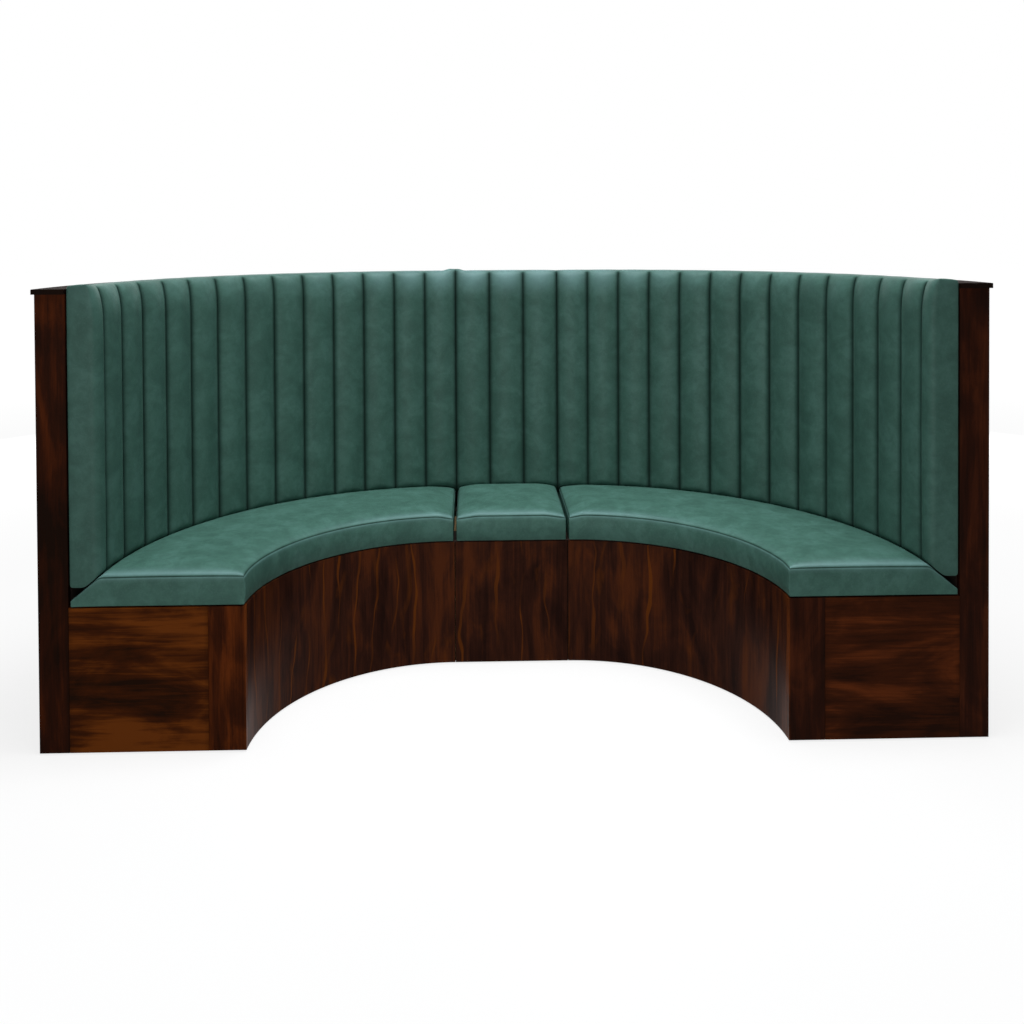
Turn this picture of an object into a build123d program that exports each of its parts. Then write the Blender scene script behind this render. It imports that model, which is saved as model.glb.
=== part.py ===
from build123d import *
import math
import os

# Half-round restaurant booth: two quarter-circle wings joined by a short straight
# centre. Millimetres, +Z up, the open side faces -Y, and the origin is the middle
# of the floor that the booth covers.

# Plan: both wings turn about a point in the plane of the two free ends
CENTRE_WIDTH = 340.0
OUTER_RADIUS = 1030.0
BASE_FRONT_RADIUS = 516.0
WING_TURN = 90.0

# Heights above the floor
GLIDE_HEIGHT = 4.0
BASE_TOP = 367.0
RAIL_TOP = 370.0
CAP_TOP = 1165.0

# Sheet and timber sizes
PLYWOOD = 18.0
FRONT_PANEL = 12.0
BACK_SKIN = 6.0
BACK_BOARD = 6.0
STUD_DEPTH = 63.0
STUD_WIDTH = 38.0
RAIL_WIDTH = 100.0
CAP_THICKNESS = 13.0
CAP_OVERHANG = 6.0
CAP_ROUND = 2.0
END_BOARD = 18.0
STILE_WIDTH = 93.0
BOARD_EDGE = 1.0
RIB_TURN = 30.0

# Seat pads
BOXING_HEIGHT = 75.0
SEAT_CROWN = 16.0
SEAT_BOARD = 12.0
SEAT_BOARD_INSET = 6.0
SEAT_FRONT_INSET = 2.0
SEAT_FRONT_SWELL = 3.0
SEAT_BACK_GAP = 5.0
SEAT_LIP = 15.0
BEVEL_DEPTH = 80.0
BEVEL_TOP_RISE = 7.0
SEAT_END_ROUND = 9.0
PAD_END_INSET = 1.0
SEAT_JOINT_INSET = 5.0

# Back pads
BACK_PAD_DEPTH = 90.0
BACK_PAD_RAISE = 48.0
BACK_PAD_PROUD = 7.0
BACK_ROLL_HEIGHT = 95.0
ROLL_PULL_SHARE = 0.6
BACK_CREST_SETBACK = 38.0
BACK_REAR_DROP = 14.0
WING_CHANNELS = 14
CENTRE_CHANNELS = 3
GROOVE_DEPTH = 13.0
GROOVE_DROP = 7.0
BACK_END_ROUND = 26.0
BACK_JOINT_INSET = 1.0

# Fasteners and glides
BOLT_RADIUS = 4.0
BOLT_HOLE_PLAY = 0.5
BOLT_HEAD_RADIUS = 7.5
BOLT_HEAD = 5.3
NUT_HEIGHT = 6.5
NUT_PLAY = 0.1
BOLT_TIP = 3.0
GABLE_BOLT_SETBACK = 80.0
STUD_BOLT_HEIGHT_SHARES = (0.25, 0.75)
SCREW_RADIUS = 2.5
SCREW_LENGTH = 36.0
SCREW_HEAD_RADIUS = 4.5
SCREW_HEAD = 3.0
SCREW_PLAY = 0.25
SCREW_HEIGHT_SHARES = (0.15, 0.85)
GLIDE_RADIUS = 15.0
GLIDE_EDGE = 1.0
GLIDE_SETBACK = 45.0

# Running clearance between what moves or is soft and its neighbours, and the glue line
# between curved layers
CLEAR = 0.3
GLUE = 0.1
JOINT_GAP = 0.5
OVERRUN = 50.0

# Places worked out from the sizes above
HALF_CENTRE = CENTRE_WIDTH / 2
END_Y = -OUTER_RADIUS / 2
FRAME_OUTER = OUTER_RADIUS - BACK_SKIN
FRAME_INNER = FRAME_OUTER - STUD_DEPTH
BOARD_FACE = FRAME_INNER - BACK_BOARD
PANEL_BACK = BASE_FRONT_RADIUS + FRONT_PANEL
RIB_FRONT = PANEL_BACK + GLUE
RIB_REAR = FRAME_INNER - GLUE
SKIN_INNER = FRAME_OUTER + GLUE
CAP_BOTTOM = CAP_TOP - CAP_THICKNESS
RIB_TOP = RAIL_TOP - PLYWOOD
PLATE_TOP = GLIDE_HEIGHT + PLYWOOD
PAD_BOTTOM = RAIL_TOP + CLEAR
SEAM_HEIGHT = RAIL_TOP + BOXING_HEIGHT
SEAT_FRONT = BASE_FRONT_RADIUS + SEAT_FRONT_INSET
SEAT_REAR = BOARD_FACE - SEAT_BACK_GAP
BEVEL_TOP_RADIUS = SEAT_REAR - BEVEL_DEPTH
BEVEL_LOW = RAIL_TOP + SEAT_LIP
BEVEL_HIGH = SEAM_HEIGHT + BEVEL_TOP_RISE
BEVEL_SLOPE = (BEVEL_HIGH - BEVEL_LOW) / BEVEL_DEPTH
BEVEL_GAP = 3.5
BACK_PAD_REAR = BOARD_FACE - CLEAR
BACK_PAD_FRONT = BOARD_FACE - BACK_PAD_DEPTH
BACK_PAD_BOTTOM = RAIL_TOP + BACK_PAD_RAISE
BACK_PAD_TOP = CAP_TOP + BACK_PAD_PROUD
STUD_TOP = CAP_BOTTOM - PLYWOOD


def block(x_low, x_high, y_low, y_high, z_low, z_high):
    """A box between its two corners."""
    box = Box(x_high - x_low, y_high - y_low, z_high - z_low)
    return Pos((x_low + x_high) / 2, (y_low + y_high) / 2, (z_low + z_high) / 2) * box


def wing_wall(inner, outer, bottom, top, end=END_BOARD, joint=0.0):
    """A wing's curved wall, cut off square behind its end boards and at the module joint."""
    middle = math.radians(WING_TURN / 2)

    def arc(radius):
        at_end = (math.sqrt(radius**2 - end**2), end)
        at_joint = (joint, math.sqrt(radius**2 - joint**2))
        halfway = (radius * math.cos(middle), radius * math.sin(middle))
        return at_end, at_joint, ThreePointArc(at_end, halfway, at_joint)

    inner_end, inner_joint, inner_arc = arc(inner)
    outer_end, outer_joint, outer_arc = arc(outer)
    outline = inner_arc + Line(inner_joint, outer_joint) + outer_arc + Line(outer_end, inner_end)
    return Pos(0, 0, bottom) * extrude(make_face(outline), top - bottom, dir=(0, 0, 1))


def centre_wall(inner, outer, bottom, top, joint=0.0):
    """The same wall in the straight centre, where the radius is simply a distance."""
    return block(joint - HALF_CENTRE, HALF_CENTRE - joint, inner, outer, bottom, top)


def radial_slab(angle, thickness, bottom, top):
    """A flat slab that stands along a radius of the wing."""
    reach = OUTER_RADIUS + OVERRUN
    return Rot(0, 0, angle) * block(0, reach, -thickness / 2, thickness / 2, bottom, top)


def wing_slabs(thickness, bottom, top):
    """The slabs that cut a wing's ribs or studs: one behind the end boards, one at the joint."""
    reach = OUTER_RADIUS + OVERRUN
    slabs = [block(0, reach, END_BOARD, END_BOARD + thickness, bottom, top)]
    angle = RIB_TURN
    while angle < WING_TURN:
        slabs.append(radial_slab(angle, thickness, bottom, top))
        angle += RIB_TURN
    slabs.append(block(0, thickness, 0, reach, bottom, top))
    return slabs


def centre_slabs(thickness, bottom, top):
    """The centre's two gables or studs, one at each joint."""
    reach = OUTER_RADIUS + OVERRUN
    return [
        block(-HALF_CENTRE, thickness - HALF_CENTRE, 0, reach, bottom, top),
        block(HALF_CENTRE - thickness, HALF_CENTRE, 0, reach, bottom, top),
    ]


def cut_pieces(wall, slabs):
    """What each slab leaves of a wall, as separate solids."""
    return [wall & slab for slab in slabs]


def group(pieces):
    """Separate solids that share one node."""
    solids = []
    for piece in pieces:
        solids.extend(piece.solids())
    return Compound(solids)


# Placing: a wing is drawn about its own centre, the straight part about the middle

def place_right(shape):
    return Pos(HALF_CENTRE, END_Y, 0) * shape


def place_left(shape):
    return mirror(place_right(shape), about=Plane.YZ)


def place_centre(shape):
    return Pos(0, END_Y, 0) * shape


# Fasteners, drawn along +X from the face that their head bears on

def hex_bolt(grip):
    head = Rot(0, 90, 0) * extrude(RegularPolygon(BOLT_HEAD_RADIUS, 6), -BOLT_HEAD)
    shank_length = grip + NUT_HEIGHT + BOLT_TIP
    shank = Rot(0, 90, 0) * extrude(Circle(BOLT_RADIUS), shank_length)
    return head + shank


def hex_nut():
    face = RegularPolygon(BOLT_HEAD_RADIUS, 6) - Circle(BOLT_RADIUS + NUT_PLAY)
    return Rot(0, 90, 0) * extrude(face, NUT_HEIGHT)


def bolt_hole(grip):
    return Rot(0, 90, 0) * Cylinder(BOLT_RADIUS + BOLT_HOLE_PLAY, 2 * (grip + OVERRUN))


GABLE_BOLT_RADII = (PANEL_BACK + GABLE_BOLT_SETBACK, BOARD_FACE - GABLE_BOLT_SETBACK)
GABLE_BOLT_HEIGHT = (PLATE_TOP + RIB_TOP) / 2
STUD_BOLT_RADIUS = (FRAME_INNER + FRAME_OUTER) / 2


def joint_points():
    """Where the bolts cross a module joint, as (radius, height, half of the grip)."""
    points = []
    for radius in GABLE_BOLT_RADII:
        points.append((radius, GABLE_BOLT_HEIGHT, PLYWOOD))
    for share in STUD_BOLT_HEIGHT_SHARES:
        points.append((STUD_BOLT_RADIUS, RAIL_TOP + share * (STUD_TOP - RAIL_TOP), STUD_WIDTH))
    return points


def drill_wing_joint(piece):
    for radius, height, half_grip in joint_points():
        piece = piece - Pos(0, radius, height) * bolt_hole(half_grip)
    return piece


def back_screw():
    """A screw through the back board into the pad, drawn along a radius."""
    turn = Rot(0, -90, 0)
    head = turn * extrude(Circle(SCREW_HEAD_RADIUS), -SCREW_HEAD)
    shank = turn * extrude(Circle(SCREW_RADIUS), SCREW_LENGTH)
    return Pos(FRAME_INNER, 0, 0) * (head + shank)


def back_screw_hole():
    hole = Rot(0, -90, 0) * Cylinder(SCREW_RADIUS + SCREW_PLAY, 2 * (BACK_BOARD + CLEAR))
    return Pos(FRAME_INNER, 0, 0) * hole


def screw_heights():
    return [BACK_PAD_BOTTOM + share * (CAP_BOTTOM - BACK_PAD_BOTTOM) for share in SCREW_HEIGHT_SHARES]


def wing_screw_places():
    """Halfway between the wing's studs, at two heights."""
    places = []
    angle = RIB_TURN / 2
    while angle < WING_TURN:
        for height in screw_heights():
            places.append(Rot(0, 0, angle) * Pos(0, 0, height))
        angle += RIB_TURN
    return places


def centre_screw_places():
    return [Rot(0, 0, WING_TURN) * Pos(0, 0, height) for height in screw_heights()]


# Base

def wing_base_front():
    panel = wing_wall(BASE_FRONT_RADIUS, PANEL_BACK, GLIDE_HEIGHT, BASE_TOP, joint=JOINT_GAP)
    return panel


def wing_base_plate():
    return wing_wall(PANEL_BACK, FRAME_OUTER, GLIDE_HEIGHT, PLATE_TOP)


def wing_base_ribs():
    wall = wing_wall(RIB_FRONT, RIB_REAR, PLATE_TOP, RIB_TOP, end=0.0)
    ribs = cut_pieces(wall, wing_slabs(PLYWOOD, PLATE_TOP, RIB_TOP))
    ribs[-1] = drill_wing_joint(ribs[-1])
    return group(ribs)


def wing_seat_rails():
    front = wing_wall(RIB_FRONT, RIB_FRONT + RAIL_WIDTH, RIB_TOP, RAIL_TOP)
    rear = wing_wall(RIB_REAR - RAIL_WIDTH, RIB_REAR, RIB_TOP, RAIL_TOP)
    return group([front, rear])


def centre_base_ribs():
    wall = centre_wall(RIB_FRONT, RIB_REAR, PLATE_TOP, RIB_TOP)
    ribs = cut_pieces(wall, centre_slabs(PLYWOOD, PLATE_TOP, RIB_TOP))
    return group([drill_centre(rib) for rib in ribs])


def drill_centre(piece):
    for side in (-1, 1):
        for radius, height, half_grip in joint_points():
            piece = piece - Pos(side * HALF_CENTRE, radius, height) * bolt_hole(half_grip)
    return piece


def centre_seat_rails():
    front = centre_wall(RIB_FRONT, RIB_FRONT + RAIL_WIDTH, RIB_TOP, RAIL_TOP)
    rear = centre_wall(RIB_REAR - RAIL_WIDTH, RIB_REAR, RIB_TOP, RAIL_TOP)
    return group([front, rear])


# End boards of the right wing, all in the plane of its free end

def end_board(x_low, x_high, top):
    board = block(x_low, x_high, 0, END_BOARD, GLIDE_HEIGHT, top)
    upright = board.edges().filter_by(Axis.Z).group_by(Axis.Y)[0]
    return chamfer(upright, BOARD_EDGE)


def end_stile():
    return end_board(BASE_FRONT_RADIUS, BASE_FRONT_RADIUS + STILE_WIDTH, BASE_TOP)


def end_panel():
    return end_board(BASE_FRONT_RADIUS + STILE_WIDTH, BOARD_FACE, BASE_TOP)


def end_post():
    return end_board(BOARD_FACE, OUTER_RADIUS, CAP_BOTTOM)


# Back frame

def wing_back_studs():
    wall = wing_wall(FRAME_INNER, FRAME_OUTER, PLATE_TOP, STUD_TOP, end=0.0)
    studs = cut_pieces(wall, wing_slabs(STUD_WIDTH, PLATE_TOP, STUD_TOP))
    studs[-1] = drill_wing_joint(studs[-1])
    return group(studs)


def centre_back_studs():
    wall = centre_wall(FRAME_INNER, FRAME_OUTER, PLATE_TOP, STUD_TOP)
    studs = cut_pieces(wall, centre_slabs(STUD_WIDTH, PLATE_TOP, STUD_TOP))
    return group([drill_centre(stud) for stud in studs])


NOGGING_MIDDLE = (RAIL_TOP + CAP_BOTTOM) / 2
NOGGING_LOW = NOGGING_MIDDLE - PLYWOOD / 2
NOGGING_HIGH = NOGGING_MIDDLE + PLYWOOD / 2


def wing_back_noggings():
    wall = wing_wall(FRAME_INNER, FRAME_OUTER, NOGGING_LOW, NOGGING_HIGH)
    for slab in wing_slabs(STUD_WIDTH, NOGGING_LOW, NOGGING_HIGH):
        wall -= slab
    return group([wall])


def centre_back_noggings():
    wall = centre_wall(FRAME_INNER, FRAME_OUTER, NOGGING_LOW, NOGGING_HIGH)
    for slab in centre_slabs(STUD_WIDTH, NOGGING_LOW, NOGGING_HIGH):
        wall -= slab
    return group([wall])


def wing_back_board():
    board = wing_wall(BOARD_FACE, RIB_REAR, RAIL_TOP, CAP_BOTTOM)
    for place in wing_screw_places():
        board -= place * back_screw_hole()
    return board


def centre_back_board():
    board = centre_wall(BOARD_FACE, RIB_REAR, RAIL_TOP, CAP_BOTTOM)
    for place in centre_screw_places():
        board -= place * back_screw_hole()
    return board


CAP_INNER = BOARD_FACE + CLEAR
CAP_OUTER = OUTER_RADIUS + CAP_OVERHANG


def wing_top_cap():
    """The cap follows the frame and runs past the end post."""
    cap = wing_wall(CAP_INNER, CAP_OUTER, CAP_BOTTOM, CAP_TOP, end=0.0, joint=JOINT_GAP)
    cap += block(CAP_INNER, CAP_OUTER, -CAP_OVERHANG, 0, CAP_BOTTOM, CAP_TOP)
    outer_edges = [e for e in cap.edges().group_by(Axis.Z)[-1] if e.geom_type == GeomType.CIRCLE]
    return fillet(max(outer_edges, key=lambda e: e.radius), CAP_ROUND)


def centre_top_cap():
    cap = centre_wall(CAP_INNER, CAP_OUTER, CAP_BOTTOM, CAP_TOP, joint=JOINT_GAP)
    edge = cap.edges().group_by(Axis.Z)[-1].filter_by(Axis.X).sort_by(Axis.Y)[-1]
    return fillet(edge, CAP_ROUND)


# Seat pads: a bevel at the rear tucks under the back pads

def seat_profile(plane):
    """Upright section of a seat pad, as (radius, height) on the given plane."""
    middle_radius = (SEAT_FRONT + BEVEL_TOP_RADIUS) / 2
    front_low = (SEAT_FRONT, PAD_BOTTOM)
    front_high = (SEAT_FRONT, SEAM_HEIGHT)
    swell = (SEAT_FRONT - SEAT_FRONT_SWELL, (PAD_BOTTOM + SEAM_HEIGHT) / 2)
    bevel_high = (BEVEL_TOP_RADIUS, BEVEL_HIGH)
    crown = (middle_radius, SEAM_HEIGHT + SEAT_CROWN)
    outline = ThreePointArc(front_low, swell, front_high)
    outline += ThreePointArc(front_high, crown, bevel_high)
    outline += Polyline(bevel_high, (SEAT_REAR, BEVEL_LOW), (SEAT_REAR, PAD_BOTTOM), front_low)
    return make_face(plane * outline)


def end_face_edges(solid, axis, place):
    """The edges of a pad's flat end face that don't touch its underside."""
    found = []
    for edge in solid.edges():
        low = edge.bounding_box().min
        high = edge.bounding_box().max
        near = min(getattr(low, axis), getattr(high, axis))
        far = max(getattr(low, axis), getattr(high, axis))
        on_face = abs(near - place) < CLEAR and abs(far - place) < CLEAR
        if on_face and high.Z > PAD_BOTTOM + CLEAR:
            found.append(edge)
    return found


def wing_seat_board():
    inner = SEAT_FRONT + SEAT_BOARD_INSET
    outer = SEAT_REAR - SEAT_BOARD_INSET
    end = PAD_END_INSET + SEAT_BOARD_INSET
    joint = SEAT_JOINT_INSET + SEAT_BOARD_INSET
    return wing_wall(inner, outer, PAD_BOTTOM, PAD_BOTTOM + SEAT_BOARD, end=end, joint=joint)


def wing_seat_pad():
    pad = revolve(seat_profile(Plane.XZ), Axis.Z, WING_TURN)
    reach = OUTER_RADIUS + OVERRUN
    pad -= block(-reach, reach, -reach, PAD_END_INSET, 0, CAP_TOP)
    pad -= block(-reach, SEAT_JOINT_INSET, -reach, reach, 0, CAP_TOP)
    edges = end_face_edges(pad, "Y", PAD_END_INSET) + end_face_edges(pad, "X", SEAT_JOINT_INSET)
    pad = fillet(edges, SEAT_END_ROUND)
    return pad - wing_seat_board()


def centre_seat_board():
    inner = SEAT_FRONT + SEAT_BOARD_INSET
    outer = SEAT_REAR - SEAT_BOARD_INSET
    joint = SEAT_JOINT_INSET + SEAT_BOARD_INSET
    return centre_wall(inner, outer, PAD_BOTTOM, PAD_BOTTOM + SEAT_BOARD, joint=joint)


def centre_seat_pad():
    width = CENTRE_WIDTH - 2 * SEAT_JOINT_INSET
    pad = extrude(seat_profile(Plane.YZ), amount=width / 2, both=True)
    place = HALF_CENTRE - SEAT_JOINT_INSET
    edges = end_face_edges(pad, "X", place) + end_face_edges(pad, "X", -place)
    pad = fillet(edges, SEAT_END_ROUND)
    return pad - centre_seat_board()


# Back pads: upright sewn channels that roll over the top edge

CREST_RADIUS = BACK_PAD_FRONT + BACK_CREST_SETBACK


def bevel_height(radius):
    """Underside of the back pad, parallel to the seat pad's bevel."""
    return BEVEL_LOW + (SEAT_REAR - radius) * BEVEL_SLOPE + BEVEL_GAP


def back_section(inset_share, plane):
    """A channel's upright section: whole at a share of 0, drawn in to the seam at 1."""
    inset = GROOVE_DEPTH * inset_share
    drop = GROOVE_DROP * inset_share
    front = BACK_PAD_FRONT + inset
    bevel_start = SEAT_REAR - (BACK_PAD_BOTTOM - BEVEL_GAP - BEVEL_LOW) / BEVEL_SLOPE
    roll = (front, BACK_PAD_TOP - BACK_ROLL_HEIGHT)
    crest = (CREST_RADIUS, BACK_PAD_TOP - drop)
    rear_top = (BACK_PAD_REAR, BACK_PAD_TOP - BACK_REAR_DROP - drop)
    pull = ROLL_PULL_SHARE * BACK_ROLL_HEIGHT
    reach = ROLL_PULL_SHARE * (CREST_RADIUS - front)
    outline = Polyline(rear_top, (BACK_PAD_REAR, BACK_PAD_BOTTOM), (bevel_start, BACK_PAD_BOTTOM),
                       (front, bevel_height(front)), roll)
    outline += Bezier(roll, (front, roll[1] + pull), (CREST_RADIUS - reach, crest[1]), crest)
    outline += Bezier(crest, ((CREST_RADIUS + BACK_PAD_REAR) / 2, crest[1]), rear_top)
    return make_face(plane * outline)


# Where a channel's sections lie across it, and how far each is drawn in
CHANNEL_PLACE_SHARES = (0.0, 0.5, 1.0)
CHANNEL_INSET_SHARES = (1.0, 0.0, 1.0)
END_PLACE_SHARES = (0.0, 0.2, 0.5, 1.0)
END_INSET_SHARES = (BACK_END_ROUND / GROOVE_DEPTH, 0.5, 0.0, 1.0)


def wing_back_pad():
    pitch = WING_TURN / WING_CHANNELS
    channels = []
    for number in range(WING_CHANNELS):
        places = END_PLACE_SHARES if number == 0 else CHANNEL_PLACE_SHARES
        insets = END_INSET_SHARES if number == 0 else CHANNEL_INSET_SHARES
        sections = []
        for place_share, inset_share in zip(places, insets):
            sections.append(Rot(0, 0, (number + place_share) * pitch) * back_section(inset_share, Plane.XZ))
        channels.append(loft(sections))
    pad = channels[0]
    for channel in channels[1:]:
        pad += channel
    reach = OUTER_RADIUS + OVERRUN
    pad -= block(-reach, reach, -reach, PAD_END_INSET, 0, BACK_PAD_TOP + OVERRUN)
    pad -= block(-reach, BACK_JOINT_INSET, -reach, reach, 0, BACK_PAD_TOP + OVERRUN)
    for place in wing_screw_places():
        pad -= place * back_screw()
    return pad


def centre_back_pad():
    width = CENTRE_WIDTH - 2 * BACK_JOINT_INSET
    pitch = width / CENTRE_CHANNELS
    pad = None
    for number in range(CENTRE_CHANNELS):
        sections = []
        for place_share, inset_share in zip(CHANNEL_PLACE_SHARES, CHANNEL_INSET_SHARES):
            x = (number + place_share) * pitch - width / 2
            sections.append(Pos(x, 0, 0) * back_section(inset_share, Plane.YZ))
        channel = loft(sections)
        pad = channel if pad is None else pad + channel
    for place in centre_screw_places():
        pad -= place * back_screw()
    return pad


# Glides, bolts and screws of the whole booth

def glides():
    disc = Pos(0, 0, GLIDE_HEIGHT / 2) * Cylinder(GLIDE_RADIUS, GLIDE_HEIGHT)
    disc = chamfer(disc.edges().group_by(Axis.Z)[0], GLIDE_EDGE)
    radii = (PANEL_BACK + GLIDE_SETBACK, FRAME_OUTER - GLIDE_SETBACK)
    found = []
    for radius in radii:
        for place in (place_right, place_left):
            found.append(place(Pos(radius, END_BOARD + GLIDE_SETBACK, 0) * disc))
            angle = RIB_TURN
            while angle < WING_TURN:
                found.append(place(Rot(0, 0, angle) * Pos(radius, 0, 0) * disc))
                angle += RIB_TURN
            found.append(place(Pos(GLIDE_SETBACK, radius, 0) * disc))
        for side in (-1, 1):
            found.append(place_centre(Pos(side * (HALF_CENTRE - GLIDE_SETBACK), radius, 0) * disc))
    return group(found)


def joint_fasteners():
    """Bolts and nuts across both module joints: for gables, for studs, and all nuts."""
    gable_bolts = []
    stud_bolts = []
    nuts = []
    for radius, height, half_grip in joint_points():
        grip = 2 * half_grip
        bolt = Pos(-half_grip, radius, height) * hex_bolt(grip)
        nut = Pos(half_grip, radius, height) * hex_nut()
        bolts = gable_bolts if half_grip == PLYWOOD else stud_bolts
        for place in (place_right, place_left):
            bolts.append(place(bolt))
            nuts.append(place(nut))
    return group(gable_bolts), group(stud_bolts), group(nuts)


def back_pad_screws():
    found = []
    for spot in wing_screw_places():
        for place in (place_right, place_left):
            found.append(place(spot * back_screw()))
    for spot in centre_screw_places():
        found.append(place_centre(spot * back_screw()))
    return group(found)


# Every node by name

def build_nodes():
    nodes = {}
    wing_parts = {
        "base_front": wing_base_front(),
        "base_plate": wing_base_plate(),
        "base_ribs": wing_base_ribs(),
        "seat_rails": wing_seat_rails(),
        "end_stile": end_stile(),
        "end_panel": end_panel(),
        "end_post": end_post(),
        "back_studs": wing_back_studs(),
        "back_noggings": wing_back_noggings(),
        "back_top_plate": wing_wall(FRAME_INNER, FRAME_OUTER, STUD_TOP, CAP_BOTTOM),
        "back_board": wing_back_board(),
        "back_skin": wing_wall(SKIN_INNER, OUTER_RADIUS, GLIDE_HEIGHT, CAP_BOTTOM, joint=JOINT_GAP),
        "top_cap": wing_top_cap(),
        "back_pad": wing_back_pad(),
        "seat_board": wing_seat_board(),
        "seat_pad": wing_seat_pad(),
    }
    for name, shape in wing_parts.items():
        nodes[name + "_left"] = place_left(shape)
        nodes[name + "_right"] = place_right(shape)
    centre_parts = {
        "base_front": centre_wall(BASE_FRONT_RADIUS, PANEL_BACK, GLIDE_HEIGHT, BASE_TOP, joint=JOINT_GAP),
        "base_plate": centre_wall(RIB_FRONT, FRAME_OUTER, GLIDE_HEIGHT, PLATE_TOP),
        "base_ribs": centre_base_ribs(),
        "seat_rails": centre_seat_rails(),
        "back_studs": centre_back_studs(),
        "back_noggings": centre_back_noggings(),
        "back_top_plate": centre_wall(FRAME_INNER, FRAME_OUTER, STUD_TOP, CAP_BOTTOM),
        "back_board": centre_back_board(),
        "back_skin": centre_wall(SKIN_INNER, OUTER_RADIUS, GLIDE_HEIGHT, CAP_BOTTOM, joint=JOINT_GAP),
        "top_cap": centre_top_cap(),
        "back_pad": centre_back_pad(),
        "seat_board": centre_seat_board(),
        "seat_pad": centre_seat_pad(),
    }
    for name, shape in centre_parts.items():
        nodes[name + "_centre"] = place_centre(shape)
    nodes["floor_glides"] = glides()
    nodes["gable_bolts"], nodes["stud_bolts"], nodes["joint_nuts"] = joint_fasteners()
    nodes["back_pad_screws"] = back_pad_screws()
    return nodes


def write_nodes():
    os.makedirs("parts", exist_ok=True)
    for name, shape in build_nodes().items():
        export_step(shape, os.path.join("parts", name + ".step"))


write_nodes()
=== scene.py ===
import math

import bpy
from mathutils import Matrix, Vector

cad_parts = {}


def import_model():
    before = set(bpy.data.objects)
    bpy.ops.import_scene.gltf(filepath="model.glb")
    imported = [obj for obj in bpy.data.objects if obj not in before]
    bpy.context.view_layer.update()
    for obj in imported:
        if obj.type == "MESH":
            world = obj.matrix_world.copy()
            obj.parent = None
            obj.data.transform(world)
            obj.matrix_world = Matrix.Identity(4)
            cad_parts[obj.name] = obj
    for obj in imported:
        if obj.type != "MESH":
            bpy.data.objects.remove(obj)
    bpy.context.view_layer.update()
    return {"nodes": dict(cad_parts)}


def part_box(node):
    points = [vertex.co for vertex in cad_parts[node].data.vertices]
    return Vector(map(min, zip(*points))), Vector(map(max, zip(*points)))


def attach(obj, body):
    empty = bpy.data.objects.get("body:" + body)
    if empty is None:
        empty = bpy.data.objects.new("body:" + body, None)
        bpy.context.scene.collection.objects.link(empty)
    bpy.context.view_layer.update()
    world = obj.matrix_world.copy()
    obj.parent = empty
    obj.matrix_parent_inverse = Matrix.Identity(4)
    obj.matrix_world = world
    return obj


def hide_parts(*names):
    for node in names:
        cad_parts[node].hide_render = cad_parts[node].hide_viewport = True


# Looks of the half-round booth. Metres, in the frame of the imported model: the open
# side faces -Y and both wings turn about a point in the plane of the free ends.

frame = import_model()
nodes = frame["nodes"]


def side(node, corner, axis):
    """One coordinate of a node's box: corner 0 is its lowest and 1 its highest."""
    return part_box(node)[corner][axis]


# Sizes read from the frame
HALF_CENTRE = side("base_plate_centre", 1, 0)
END_Y = side("end_post_right", 0, 1)
RAIL_TOP = side("seat_rails_centre", 1, 2)
BASE_FRONT = side("base_front_centre", 0, 1) - END_Y

SEAT_BOTTOM = side("seat_pad_centre", 0, 2)
SEAT_TOP = side("seat_pad_centre", 1, 2)
SEAT_FRONT = side("seat_pad_centre", 0, 1) - END_Y
SEAT_REAR = side("seat_pad_centre", 1, 1) - END_Y
SEAT_JOINT_INSET = HALF_CENTRE - side("seat_pad_centre", 1, 0)
SEAT_BOARD_TOP = side("seat_board_centre", 1, 2)
SEAT_BOARD_INSET = side("seat_board_centre", 0, 1) - side("seat_pad_centre", 0, 1)

BACK_FRONT = side("back_pad_centre", 0, 1) - END_Y
BACK_REAR = side("back_pad_centre", 1, 1) - END_Y
BACK_BOTTOM = side("back_pad_centre", 0, 2)
BACK_TOP = side("back_pad_centre", 1, 2)
PAD_END_INSET = side("back_pad_right", 0, 1) - END_Y

# Seat pads: boxing up to a seam, a crown, and a rear bevel under the back pad
SEAT_CROWN = 0.0155
SEAM_DROP = 0.0007
SEAM_HEIGHT = SEAT_TOP - SEAT_CROWN - SEAM_DROP
BEVEL_DEPTH = 0.08
SEAT_LIP = 0.015
SHOULDER_RISE = 0.007
SHOULDER_SOFT = 0.008
EDGE_ROLL = 0.022
EDGE_ROLL_RISE = 0.0105
EDGE_ROLL_POWERS = (2.2, 0.75)
REAR_CROWN_SHARES = {"left": -0.3, "centre": 0.6, "right": -0.3}
CENTRE_REAR_ARCH = 0.004
CROWN_POWER = 3.2
END_CROWN_SHARE = 0.25
END_FALL = 0.075
END_FALL_POWER = 2.6
CORNER_DROOP = 0.0075
FREE_DROOP_SHARE = 0.3
BOXING_SWELL = 0.003
BOXING_TUCK = 0.003
BOXING_TUCK_SHARE = 0.12
POCKET_SLACK = 0.0001
POCKET_GAP = 0.0002

# Back pads: upright channels that roll over the top. The last one turns round the end.
WING_CHANNELS = 13
END_CHANNEL = 0.53
CENTRE_CHANNELS = 3
PAD_GAP = 0.0001
GROOVE_DEPTH = 0.019
GROOVE_DROP = 0.0008
CHANNEL_POWER = 0.8
ROLL_HEIGHT = 0.095
ROLL_PULL_SHARE = 0.6
CREST_SETBACK = 0.038
REAR_DROP = 0.004
BEVEL_GAP = 0.0035
END_ROUND = 0.026
END_ROUND_REACH = 0.05
END_REAR_ROUND = 0.006
END_REAR_REACH = END_REAR_ROUND * 3
END_PROUD = 0.004
END_PROUD_REACH = 0.06
PROUD_CORNER = 0.0065
PROUD_WIDTHS = {"left": 0.028, "centre": 0.014}
PROUD_FALL = 0.007
PROUD_REACH = 0.03


# Placing points along a module

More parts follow.
